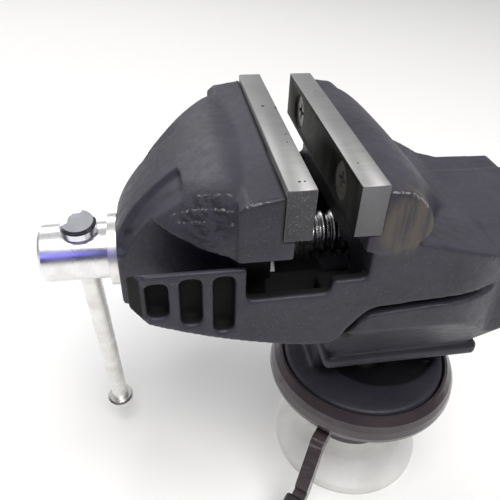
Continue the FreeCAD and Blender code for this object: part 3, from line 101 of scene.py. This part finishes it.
# Materials
class Look:
    """A material whose nodes are joined up by short calls."""

    def __init__(self, name, roughness=0.5, metallic=0.0, specular=0.5):
        self.material = bpy.data.materials.new(name)
        self.material.use_nodes = True
        self.tree = self.material.node_tree
        self.shader = self.tree.nodes["Principled BSDF"]
        self.set("Roughness", roughness)
        self.set("Metallic", metallic)
        self.set("Specular IOR Level", specular)
        coordinates = self.tree.nodes.new("ShaderNodeTexCoord")
        self.place = coordinates.outputs["Object"]
        self.normal = coordinates.outputs["Normal"]

    def put(self, socket, value):
        # Joins a socket to another node's output, or gives it a plain value
        if isinstance(value, bpy.types.NodeSocket):
            self.tree.links.new(value, socket)
        elif socket.type == "RGBA":
            socket.default_value = (*value, 1)
        else:
            socket.default_value = value

    def add(self, kind, **inputs):
        node = self.tree.nodes.new("ShaderNode" + kind)
        for name, value in inputs.items():
            self.put(node.inputs[name.replace("_", " ")], value)
        return node

    def set(self, name, value):
        self.put(self.shader.inputs[name], value)

    def stretched(self, factors, turn=(0, 0, 0)):
        return self.add("Mapping", Vector=self.place, Scale=factors, Rotation=turn).outputs[0]

    def noise(self, scale, detail, rough, place=None, bend=0.0):
        node = self.add("TexNoise", Vector=place or self.place, Scale=scale, Detail=detail,
                        Roughness=rough, Distortion=bend)
        return node.outputs[0]

    def remap(self, value, low, high, to_low=0.0, to_high=1.0):
        node = self.add("MapRange", Value=value, From_Min=low, From_Max=high, To_Min=to_low,
                        To_Max=to_high)
        node.interpolation_type = "SMOOTHSTEP"
        return node.outputs[0]

    def falling(self, value, low, high):
        # 1 up to the low value, and 0 from the high value
        return self.remap(value, low, high, 1.0, 0.0)

    def combined(self, operation, first, *others):
        total = first
        for other in others:
            node = self.add("Math")
            node.operation = operation
            self.put(node.inputs[0], total)
            self.put(node.inputs[1], other)
            total = node.outputs[0]
        return total

    def plus(self, *values):
        return self.combined("ADD", *values)

    def times(self, *values):
        return self.combined("MULTIPLY", *values)

    def least(self, *values):
        return self.combined("MINIMUM", *values)

    def most(self, *values):
        return self.combined("MAXIMUM", *values)

    def without(self, mask):
        return self.combined("SUBTRACT", 1.0, mask)

    def mix(self, share, a, b):
        # Sockets 6 and 7 and output 2 of a Mix node are those for colours
        node = self.add("Mix")
        node.data_type = "RGBA"
        self.put(node.inputs[0], share)
        self.put(node.inputs[6], a)
        self.put(node.inputs[7], b)
        return node.outputs[2]

    def stained(self, colour, mask, strength, tone):
        return self.mix(self.times(mask, strength), colour, tone)

    def parts(self, vector):
        return self.add("SeparateXYZ", Vector=vector).outputs

    def vector(self, operation, a, b=(0, 0, 0)):
        node = self.add("VectorMath")
        node.operation = operation
        self.put(node.inputs[0], a)
        self.put(node.inputs[1], b)
        single = operation in ("LENGTH", "DISTANCE", "DOT_PRODUCT")
        return node.outputs["Value" if single else "Vector"]

    def near(self, distance, radius, soft):
        # 1 at no distance, fading out to 0 over the soft share of the radius
        return self.falling(distance, radius * (1 - soft), radius)

    def ball(self, centre, radius, soft, squeeze=(1, 1, 1)):
        # 1 inside an ellipsoid
        moved = self.vector("SUBTRACT", self.place, centre)
        squeezed = self.vector("MULTIPLY", moved, squeeze)
        return self.near(self.vector("LENGTH", squeezed), radius, soft)

    def stroke(self, start, end, radius, soft, place):
        # 1 near the straight line between two places
        along = Vector(end) - Vector(start)
        moved = self.vector("SUBTRACT", place, start)
        share = self.vector("DOT_PRODUCT", moved, tuple(along / along.length_squared))
        share = self.add("Clamp", Value=share).outputs[0]
        nearest = self.vector("MULTIPLY", tuple(along), share)
        return self.near(self.vector("DISTANCE", moved, nearest), radius, soft)

    def strokes(self, points, radius, soft, place=None):
        # 1 near the line through all these places
        place = place or self.place
        return self.most(*(self.stroke(a, b, radius, soft, place) for a, b in zip(points, points[1:])))

    def wobbled(self, scale, size):
        # Places shifted about by noise
        noise = self.add("TexNoise", Vector=self.place, Scale=scale, Detail=2.0).outputs["Color"]
        shift = self.vector("SUBTRACT", noise, (0.5, 0.5, 0.5))
        return self.vector("ADD", self.place, self.vector("MULTIPLY", shift, (size, size, size)))

    def bump(self, height, depth, strength):
        self.set("Normal", self.add("Bump", Height=height, Distance=depth, Strength=strength).outputs[0])


def cast_paint(name, marks):
    # Grey-blue paint over a sand casting
    look = Look(name, specular=0.30)
    blotches = look.noise(45, 4, 0.6)
    grain = look.noise(2300, 2, 0.6)
    lumps = look.noise(420, 3, 0.55)
    wrinkles = look.noise(170, 5, 0.65, look.stretched((1.0, 1.6, 1.0)), 0.6)
    colour = look.mix(look.remap(blotches, 0.35, 0.65), (0.029, 0.028, 0.038), (0.043, 0.041, 0.054))
    # Pale specks in the paint. Fading them where the surface looks up is painted light, so they show
    # most on the shaded flanks
    specks = look.remap(grain, 0.63, 0.72)
    up = look.remap(look.parts(look.normal)[2], -0.2, 0.5)
    flank = look.remap(up, 0.0, 1.0, 1.0, 0.25)
    colour = look.stained(colour, look.times(specks, flank), 0.7, (0.14, 0.14, 0.15))
    rough = look.plus(look.remap(lumps, 0.3, 0.7, 0.40, 0.52), look.times(specks, -0.15))
    height = look.plus(look.times(grain, 0.5), look.times(lumps, 0.8), wrinkles)
    colour, rough, height = marks(look, colour, rough, height, grain)
    look.set("Base Color", colour)
    look.set("Roughness", rough)
    look.bump(height, 0.00022, 0.55)
    return look.material


# Filed rows on the near side of the movable jaw, from the crease to the block
FILED_ROWS = (
    ((-0.0650, -0.0255, 0.1448), (-0.0574, -0.0305, 0.1474)),
    ((-0.0719, -0.0236, 0.1383), (-0.0648, -0.0284, 0.1430), (-0.0578, -0.0332, 0.1450)),
    ((-0.0701, -0.0264, 0.1380), (-0.0640, -0.0310, 0.1408), (-0.0575, -0.0350, 0.1423)),
    ((-0.0684, -0.0270, 0.1337), (-0.0628, -0.0318, 0.1378), (-0.0571, -0.0356, 0.1410)),
)
# The crease between the screw boss and the wing, painted dark: part dirt, part painted shade
CREASE = ((-0.0694, -0.0181, 0.1437), (-0.0728, -0.0158, 0.1403), (-0.0760, -0.0159, 0.1376),
          (-0.0788, -0.0157, 0.1346), (-0.0818, -0.0150, 0.1304), (-0.0842, -0.0116, 0.1257))
JAW_CHIP = ((-0.0550, -0.0372, 0.1484), (-0.0535, -0.0373, 0.1490), (-0.0499, -0.0372, 0.1496))
BODY_CHIPS = (
    ((-0.0205, -0.0372, 0.1500), (-0.0170, -0.0372, 0.1496)),
    ((-0.0155, -0.0372, 0.1490), (-0.0129, -0.0373, 0.1475), (-0.0115, -0.0373, 0.1455)),
)


def jaw_marks(look, colour, rough, height, grain):
    x, _, z = look.parts(look.place)
    ragged = look.wobbled(700, 0.0014)
    rows = look.most(*(look.strokes(points, 0.00045, 0.7, ragged) for points in FILED_ROWS))
    scar = look.times(rows, look.remap(look.noise(1100, 3, 0.7), 0.44, 0.58))
    patch = look.ball((-0.0632, -0.0300, 0.1410), 0.0105, 0.5, (1.0, 1.0, 1.2))
    lumps = look.noise(650, 4, 0.65, look.stretched((0.6, 0.6, 1.5)))
    dents = look.times(patch, look.remap(lumps, 0.46, 0.58, 0.0, 0.85))
    colour = look.mix(dents, colour, (0.016, 0.015, 0.017))
    # Dirt and painted shade darken the crease
    colour = look.stained(colour, look.strokes(CREASE, 0.0016, 0.7), 0.85, (0.006, 0.006, 0.007))
    # Painted shade: the casting is dark along the step behind the plate
    plate_step_shade = look.least(look.remap(x, plate_low.x - 0.0012, plate_low.x - 0.0004),
                      look.remap(z, plate_low.z - 0.001, plate_low.z + 0.001))
    colour = look.stained(colour, plate_step_shade, 0.9, (0.008, 0.008, 0.009))
    colour = look.stained(colour, scar, 0.8, (0.24, 0.23, 0.24))
    height = look.plus(height, look.times(look.plus(look.times(lumps, 1.6), scar), patch))
    chip = look.times(look.strokes(JAW_CHIP, 0.0006, 0.6, ragged), look.remap(grain, 0.42, 0.58))
    colour = look.stained(colour, chip, 0.8, (0.24, 0.235, 0.24))
    # Painted shade: the slide inside the body is near-black and rough
    inside = look.least(look.falling(z, 0.1245, 0.1275), look.remap(x, -0.0560, -0.0540))
    colour = look.stained(colour, inside, 0.93, (0.003, 0.003, 0.003))
    rough = look.most(rough, look.times(inside, 0.75))
    return colour, rough, height


def body_marks(look, colour, rough, height, grain):
    x, y, z = look.parts(look.place)
    ragged = look.wobbled(700, 0.0012)
    # Brown worn paint on the near end of the fixed jaw
    worn = look.ball((-0.0150, -0.0370, 0.1400), 0.0105, 0.5, (1.1, 0.6, 0.9))
    streaks = look.noise(300, 4, 0.6, look.stretched((1.4, 1.0, 0.22)))
    worn = look.times(worn, look.remap(streaks, 0.35, 0.6, 0.1, 0.85))
    colour = look.mix(worn, colour, (0.105, 0.090, 0.072))
    chips = look.most(*(look.strokes(points, 0.0006, 0.6, ragged) for points in BODY_CHIPS))
    chips = look.times(chips, look.remap(grain, 0.42, 0.58))
    colour = look.stained(colour, chips, 0.8, (0.26, 0.255, 0.25))
    # Painted shade: the inside of the beam is near-black and rough
    inside = look.least(look.remap(y, -0.0364, -0.0352), look.falling(y, 0.0352, 0.0364),
                        look.falling(z, 0.1275, 0.1295), look.remap(z, 0.0950, 0.0975),
                        look.falling(x, -0.0232, -0.0216))
    colour = look.stained(colour, inside, 0.95, (0.002, 0.002, 0.002))
    rough = look.most(rough, look.times(inside, 0.8))
    # Painted shade in the dish of the swivel foot, around the pedestal
    dish_shade = look.least(look.falling(z, 0.0536, 0.0546), look.ball((0.006, 0, 0.053), 0.029, 0.1))
    colour = look.stained(colour, dish_shade, 0.85, (0.006, 0.006, 0.007))
    return colour, rough, height


# Pits in the ground tops of the plates: x, y and radius
PITS = ((-0.0429, 0.0105, 0.0006), (-0.0392, 0.0089, 0.0007), (-0.0402, -0.0087, 0.0003),
        (-0.0409, -0.0134, 0.0003), (-0.0425, -0.0335, 0.0004), (-0.0412, -0.0335, 0.0003),
        (-0.0262, -0.0263, 0.0003), (-0.0243, 0.0210, 0.0003))


def ground_steel(name, oily_side, end_paint):
    # Ground tops, an oily milled face on one side (+1 or -1 along X) and painted ends
    look = Look(name)
    facing_x, facing_y, _ = look.parts(look.normal)
    end = look.remap(look.most(facing_y, look.times(facing_y, -1.0)), 0.6, 0.8)
    face = look.remap(look.times(facing_x, oily_side), 0.55, 0.8)
    across = look.noise(700, 3, 0.6, look.stretched((0.12, 1.6, 1.0), (0, 0, 0.5)))
    along = look.noise(520, 3, 0.6, look.stretched((1.0, 1.2, 0.10)))
    haze = look.noise(70, 3, 0.6)
    steel = look.mix(look.remap(across, 0.3, 0.7), (0.37, 0.365, 0.36), (0.41, 0.405, 0.40))
    steel = look.mix(look.remap(haze, 0.3, 0.7, 0.0, 0.35), steel, (0.34, 0.335, 0.33))
    pits = look.most(*(look.ball((x, y, plate_high.z), radius, 0.35, (1.0, 0.8, 1.0))
                       for x, y, radius in PITS))
    steel = look.stained(steel, pits, 0.9, (0.03, 0.028, 0.025))
    oil = look.mix(look.remap(along, 0.42, 0.80), (0.005, 0.0045, 0.004), (0.050, 0.045, 0.037))
    oil = look.mix(look.remap(look.noise(130, 3, 0.6), 0.45, 0.7, 0.0, 0.6), oil, (0.022, 0.020, 0.016))
    grain = look.noise(2600, 2, 0.6)
    paint = look.mix(look.remap(grain, 0.55, 0.75), end_paint, (0.17, 0.17, 0.18))
    look.set("Base Color", look.mix(end, look.mix(face, steel, oil), paint))
    look.set("Metallic", look.without(look.most(end, look.times(face, 0.75))))
    rough = look.remap(across, 0.3, 0.7, 0.48, 0.56)
    look.set("Roughness", look.plus(rough, look.times(look.most(end, face), 0.12)))
    relief = look.plus(look.times(across, look.without(end)), look.times(grain, end),
                       look.times(along, face, 1.5), look.times(pits, -3.0))
    look.bump(relief, 0.00008, 0.5)
    return look.material


def plated(name, colour, roughness, tint=None):
    look = Look(name, metallic=1.0)
    haze = look.noise(120, 3, 0.6)
    second = tint or tuple(c * 0.86 for c in colour)
    look.set("Base Color", look.mix(look.remap(haze, 0.35, 0.7), colour, second))
    fine = look.noise(1500, 2, 0.5, look.stretched((1.0, 0.2, 0.2)))
    look.set("Roughness", look.remap(haze, 0.3, 0.7, roughness * 0.8, roughness * 1.35))
    look.bump(fine, 0.00003, 0.35)
    return look.material


def moulded(name, colour, roughness, specular=0.5, peel=0.00005, scale=900, tint=None):
    look = Look(name, specular=specular)
    blotch = look.noise(60, 3, 0.6)
    second = tint or tuple(c * 0.78 for c in colour)
    look.set("Base Color", look.mix(look.remap(blotch, 0.35, 0.68), colour, second))
    peels = look.noise(scale, 3, 0.55)
    look.set("Roughness", look.remap(peels, 0.3, 0.7, roughness * 0.85, roughness * 1.2))
    look.bump(peels, peel, 0.6)
    return look.material


# Geometry helpers
def new_object(name, mesh, body, material, replaced):
    piece = bpy.data.objects.new(name, mesh)
    scene.collection.objects.link(piece)
    mesh.materials.clear()
    mesh.materials.append(material)
    for polygon in mesh.polygons:
        polygon.use_smooth = True
    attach(piece, body)
    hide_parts(*replaced)
    return piece


def welded_copy(node):
    form = bmesh.new()
    form.from_mesh(nodes[node].data)
    bmesh.ops.remove_doubles(form, verts=form.verts, dist=2e-6)
    return form


def mesh_of(form, name):
    mesh = bpy.data.meshes.new(name)
    form.to_mesh(mesh)
    form.free()
    return mesh


def applied(data, *modifiers):
    # The mesh that a mesh or a curve gives with these modifiers
    carrier = bpy.data.objects.new("carrier", data)
    scene.collection.objects.link(carrier)
    for kind, values in modifiers:
        modifier = carrier.modifiers.new(kind, kind)
        for key, value in values.items():
            setattr(modifier, key, value)
    graph = bpy.context.evaluated_depsgraph_get()
    made = bpy.data.meshes.new_from_object(carrier.evaluated_get(graph))
    bpy.data.objects.remove(carrier)
    return made


def smooth_by_angle(piece, degrees):
    mesh = piece.data
    form = bmesh.new()
    form.from_mesh(mesh)
    limit = math.radians(degrees)
    for edge in form.edges:
        edge.smooth = len(edge.link_faces) == 2 and edge.calc_face_angle(0) < limit
    for side in form.faces:
        side.smooth = True
    form.to_mesh(mesh)
    form.free()


def remade(node, ending, body, material, slot, *modifiers):
    # A CAD piece with these modifiers, in place of the CAD's own
    made = applied(mesh_of(welded_copy(node), node + "_welded"), *modifiers)
    made.name = node + ending
    new_object(node + ending, made, body, material, (node,))


def cast_piece(node, body, voxel, material):
    # A casting with the soft edges that sand moulds give
    remade(node, "_cast", body, material, "cast_paint",
           ("REMESH", {"mode": "VOXEL", "voxel_size": voxel}),
           ("SMOOTH", {"factor": 0.5, "iterations": 5}))


def eased_piece(node, body, width, material):
    remade(node, "_eased", body, material, "ground_steel",
           ("BEVEL", {"width": width, "segments": 2, "limit_method": "ANGLE",
                      "angle_limit": math.radians(50), "harden_normals": True}))


def thread_radius(turn):
    # Rounded ridges that meet in narrow roots
    return THREAD_ROOT + (THREAD_CREST - THREAD_ROOT) * abs(math.cos(math.pi * turn)) ** 0.8


def threaded_screw(material):
    # The CAD screw's head and journal, joined to a true helical thread
    overlap = 0.0001
    around = 72
    along = 16
    fade_turns = 0.6
    form = welded_copy("lead_screw")
    everything = form.verts[:] + form.edges[:] + form.faces[:]
    bmesh.ops.bisect_plane(form, geom=everything, plane_co=(THREAD_START + overlap, 0, 0),
                           plane_no=(1, 0, 0), clear_outer=True)
    turns = (THREAD_END - THREAD_START) / THREAD_PITCH
    rows = []
    for i in range(int(turns * along) + 1):
        turn = i / along
        x = THREAD_START + turn * THREAD_PITCH
        depth = min(1.0, turn / fade_turns)
        row = []
        for j in range(around):
            angle = 2 * math.pi * j / around
            radius = THREAD_CREST + (thread_radius(turn - j / around) - THREAD_CREST) * depth
            y = radius * math.sin(angle)
            z = SCREW_HEIGHT + radius * math.cos(angle)
            row.append(form.verts.new((x, y, z)))
        rows.append(row)
    for a, b in zip(rows, rows[1:]):
        for j in range(around):
            k = (j + 1) % around
            form.faces.new((a[j], a[k], b[k], b[j]))
    form.faces.new(rows[-1])
    form.faces.new(list(reversed(rows[0])))
    bmesh.ops.recalc_face_normals(form, faces=form.faces)
    mesh = mesh_of(form, "threaded_screw")
    piece = new_object("threaded_screw", mesh, "spindle", material, ("lead_screw",))
    smooth_by_angle(piece, 35)


def coil_spring(material):
    low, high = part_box("return_spring")
    wire_radius = 0.0005
    coil_radius = high.x - 0.0008
    taper = 0.0003
    turns = 4.5
    steps = 24
    curve = bpy.data.curves.new("return_coil", "CURVE")
    curve.dimensions = "3D"
    curve.bevel_depth = wire_radius
    curve.bevel_resolution = 3
    spline = curve.splines.new("POLY")
    total = int(turns * steps)
    spline.points.add(total)
    for i in range(total + 1):
        share = i / total
        angle = 2 * math.pi * turns * share
        radius = coil_radius - taper * share
        z = low.z + wire_radius + (high.z - low.z - 2 * wire_radius) * share
        spline.points[i].co = (radius * math.cos(angle), radius * math.sin(angle), z, 1)
    piece = new_object("return_coil", applied(curve), "base", material, ("return_spring",))
    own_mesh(piece)


def spun(name, profile, around=96):
    # A closed mesh of revolution about Z from (radius, height) points
    form = bmesh.new()
    rings = []
    for radius, height in profile:
        if radius < 1e-6:
            rings.append([form.verts.new((0, 0, height))])
            continue
        rings.append([form.verts.new((radius * math.cos(2 * math.pi * j / around),
                                      radius * math.sin(2 * math.pi * j / around), height))
                      for j in range(around)])
    for a, b in zip(rings, rings[1:]):
        for j in range(around):
            k = (j + 1) % around
            corners = [a[j % len(a)], a[k % len(a)], b[k % len(b)], b[j % len(b)]]
            form.faces.new([c for i, c in enumerate(corners) if c not in corners[:i]])
    bmesh.ops.recalc_face_normals(form, faces=form.faces)
    return mesh_of(form, name)


def suction_pad(material):
    # A flat pad with a moulded rim, as shares of the edge's radius and heights
    _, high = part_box("rubber_pad")
    edge = high.x
    thick = high.z
    outline = ((0, 0.0002), (0.80, 0.0002), (0.84, 0.0), (0.985, 0.0), (1, 0.0006), (0.985, 0.0012),
               (0.90, 0.0016), (0.86, 0.0022), (0.80, 0.0018), (0.74, 0.0025), (0.66, 0.0022),
               (0.52, thick), (0, thick))
    mesh = spun("pad", [(edge * share, height) for share, height in outline])
    piece = new_object("moulded_pad", mesh, "base", material, ("rubber_pad",))
    smooth_by_angle(piece, 60)
    piece.parent = None
    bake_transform(piece)


# Stage
def make_stage():
    size = 3.0
    corners = [(-size, -size, 0), (size, -size, 0), (size, size, 0), (-size, size, 0)]
    mesh = bpy.data.meshes.new("floor")
    mesh.from_pydata(corners, [], [(0, 1, 2, 3)])
    floor = bpy.data.objects.new("floor", mesh)
    scene.collection.objects.link(floor)
    look = Look("floor_paint", roughness=0.7, specular=0.2)
    cloud = look.noise(3.0, 2, 0.5)
    look.set("Base Color", look.mix(cloud, (0.905, 0.895, 0.88), (0.93, 0.92, 0.905)))
    mesh.materials.append(look.material)


def area_light(name, place, target, size, power, colour=(1, 1, 1), spread=180):
    data = bpy.data.lights.new(name, "AREA")
    data.shape = "RECTANGLE"
    data.size, data.size_y = size
    data.energy = power
    data.color = colour
    data.spread = math.radians(spread)
    lamp = bpy.data.objects.new(name, data)
    lamp.location = place
    lamp.rotation_euler = (Vector(target) - Vector(place)).to_track_quat("-Z", "Y").to_euler()
    scene.collection.objects.link(lamp)


def make_room():
    # A pale room that is darker below and on the camera's side
    world = bpy.data.worlds.new("studio")
    scene.world = world
    world.use_nodes = True
    tree = world.node_tree
    background = tree.nodes["Background"]
    background.inputs["Color"].default_value = (0.97, 0.975, 1.0, 1)
    coordinates = tree.nodes.new("ShaderNodeTexCoord")
    parts = tree.nodes.new("ShaderNodeSeparateXYZ")
    # Brightness follows the depth along Y plus a share of the height
    mixed = tree.nodes.new("ShaderNodeMath")
    mixed.operation = "MULTIPLY_ADD"
    mixed.inputs[1].default_value = 0.8
    ramp = tree.nodes.new("ShaderNodeMapRange")
    ramp.interpolation_type = "SMOOTHSTEP"
    for name, value in (("From Min", -0.2), ("From Max", 0.95), ("To Min", 0.05), ("To Max", 0.56)):
        ramp.inputs[name].default_value = value
    tree.links.new(coordinates.outputs["Generated"], parts.inputs[0])
    tree.links.new(parts.outputs["Z"], mixed.inputs[0])
    tree.links.new(parts.outputs["Y"], mixed.inputs[2])
    tree.links.new(mixed.outputs[0], ramp.inputs["Value"])
    tree.links.new(ramp.outputs[0], background.inputs["Strength"])


def make_lights():
    # Soft lamps above and behind, and a small blue one that the screw head mirrors as a stripe
    area_light("top", (0.10, -0.42, 1.15), (-0.03, 0, 0.08), (0.8, 0.8), 14.0)
    area_light("back", (-0.55, 0.85, 0.80), (-0.03, 0, 0.1), (0.9, 0.5), 4.4)
    area_light("card", (-0.20, -0.22, 0.222), (-0.12, 0, 0.112), (0.10, 0.07), 0.0035,
               (0.14, 0.12, 0.75), 24)


make_camera()
make_stage()
make_room()
make_lights()
scene.view_settings.view_transform = "Standard"
scene.view_settings.look = "None"

cast_jaw = cast_paint("cast_paint_jaw", jaw_marks)
cast_body = cast_paint("cast_paint_body", body_marks)
collar = moulded("collar_paint", (0.040, 0.032, 0.038), 0.20, 0.7, 0.00016, 500, (0.058, 0.042, 0.046))
plate_fixed = ground_steel("ground_steel_fixed", -1, (0.125, 0.125, 0.130))
plate_moving = ground_steel("ground_steel_moving", 1, (0.045, 0.045, 0.050))
chrome = plated("bright_head", (0.80, 0.80, 0.82), 0.10, (0.72, 0.72, 0.80))
thread = plated("bright_thread", (0.86, 0.86, 0.86), 0.24)
pale_bar = plated("bright_bar", (0.80, 0.79, 0.77), 0.30)
zinc = plated("zinc_screws", (0.52, 0.50, 0.47), 0.32)
# The lead nut is near-black: painted shade, like the inside of the body
nut_shade = plated("nut_painted_shade", (0.020, 0.019, 0.018), 0.55)
# Oily screws, diffuse and lighter than steel in shade: their tone is partly a painted reflection of the
# steel heads
oily = moulded("oily_screws_painted_glint", (0.17, 0.16, 0.14), 0.32, 0.7)
# Pale plastic for the suction foot. On the retaining pin it is a painted highlight
pale = moulded("pale_plastic", (0.80, 0.79, 0.77), 0.45, 0.4, 0.00004, 900, (0.72, 0.71, 0.69))
black = moulded("black_plastic", (0.012, 0.012, 0.013), 0.40)
rubber = moulded("pad_rubber", (0.020, 0.020, 0.021), 0.62, 0.35)
fibre = moulded("fibre", (0.16, 0.10, 0.06), 0.75, 0.2, 0.00008, 1600)

# The CAD pieces that stay as they are, with their materials
CARRIED = {
    "suction_housing": collar, "lock_lever": collar, "lever_grip": black,
    "thrust_washer": pale_bar, "handle_bar": pale_bar, "handle_cap_top": chrome,
    # The pale matte pin stands in for the glint of its plated end: a painted highlight
    "handle_cap_bottom": pale_bar, "retaining_pin": pale, "retaining_washer": zinc,
    "lead_nut": nut_shade, "nut_bolt": zinc, "nut_bolt_washer": zinc,
    "fixed_plate_screws": oily, "movable_plate_screws": oily, "suction_foot": pale,
    "foot_screws": zinc, "swivel_washer": fibre, "pivot_bolt": zinc, "pivot_nut": zinc,
    "pivot_spring_washer": zinc, "lift_stem": zinc, "lift_pin": zinc, "lift_plate": zinc,
}
for name, material in CARRIED.items():
    node = nodes[name]
    node.data.materials.clear()
    node.data.materials.append(material)

cast_piece("fixed_body", "vise", 0.0007, cast_body)
cast_piece("movable_jaw", "jaw", 0.0006, cast_jaw)
eased_piece("fixed_jaw_plate", "vise", 0.0003, plate_fixed)
eased_piece("movable_jaw_plate", "jaw", 0.0003, plate_moving)
threaded_screw(thread)
coil_spring(zinc)
suction_pad(rubber)
